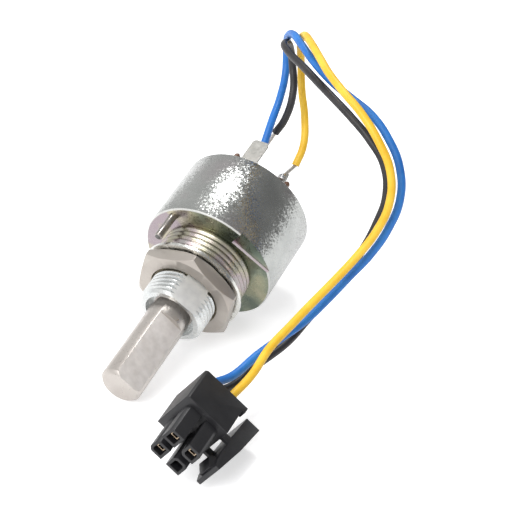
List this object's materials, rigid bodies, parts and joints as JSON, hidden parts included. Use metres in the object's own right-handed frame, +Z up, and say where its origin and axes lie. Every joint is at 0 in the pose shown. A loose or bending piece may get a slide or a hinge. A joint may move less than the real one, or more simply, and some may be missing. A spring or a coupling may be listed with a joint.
{
  "type": "panel-mount rotary potentiometer with leads and a wire connector",
  "caption": "Rotary potentiometer with threaded bushing, hex nut, lock washer and D-cut metal shaft, its solder lugs wired through loose leads to a small latching crimp connector.",
  "frame": {"origin": "on the surface it lies on, under the middle of the pot's box without its leads and connector", "axes": "+Z up; the shaft points towards -Y and dips to the surface; +X to the side the leads and the connector lie on"},
  "size_m": [0.038, 0.0646, 0.0396],
  "materials": {
    "can_nickel": "nickel-plated, satin with a faint crystal pattern",
    "bushing_nickel": "nickel-plated brass, turned",
    "washer_zinc": "zinc-plated spring steel",
    "nut_nickel": "nickel-plated brass",
    "pin_steel": "bare steel pin",
    "shaft_nickel": "nickel-plated brass, satin",
    "ring_spring_steel": "spring steel",
    "rotor_plastic": "moulded plastic",
    "wiper_brass": "spring brass strip",
    "phenolic": "laminated phenolic board",
    "carbon_track": "carbon film",
    "silver_ink": "silver conductive ink",
    "cover_phenolic": "moulded phenolic",
    "lug_tin": "tin-plated brass strip",
    "solder": "solder, smooth",
    "tinned_copper": "stranded copper, tinned",
    "insulation_blue": "extruded insulation",
    "insulation_black": "extruded insulation",
    "insulation_yellow": "extruded insulation",
    "contact_tin_bronze": "formed bronze strip",
    "connector_nylon": "moulded nylon"
  },
  "bodies": {
    "pot": {"housing": "can_nickel", "threaded_bushing": "bushing_nickel", "tooth_lock_washer": "washer_zinc", "hex_nut": "nut_nickel", "locating_pin": "pin_steel", "element_carrier": "phenolic", "resistance_track": "carbon_track", "collector_ring": "silver_ink", "rear_cover": "cover_phenolic", "terminal_rivets": "lug_tin", "terminal_1": "lug_tin", "terminal_2": "lug_tin", "terminal_3": "lug_tin", "solder_joints": "solder", "conductor_blue": "tinned_copper", "conductor_black": "tinned_copper", "conductor_yellow": "tinned_copper", "wire_blue": "insulation_blue", "wire_black": "insulation_black", "wire_yellow": "insulation_yellow", "contact_blue": "contact_tin_bronze", "contact_black": "contact_tin_bronze", "contact_yellow": "contact_tin_bronze", "connector_housing": "connector_nylon"},
    "spindle": {"shaft": "shaft_nickel", "shaft_retaining_ring": "ring_spring_steel", "rotor": "rotor_plastic", "wiper_contact": "wiper_brass"}
  },
  "joints": [
    {"name": "shaft_turn", "type": "hinge", "parent": "pot", "child": "spindle", "pos_m": [0, 0.00431, 0.00957], "axis": [0, -0.9628, -0.2701], "range_deg": [-150, 150]}
  ]
}
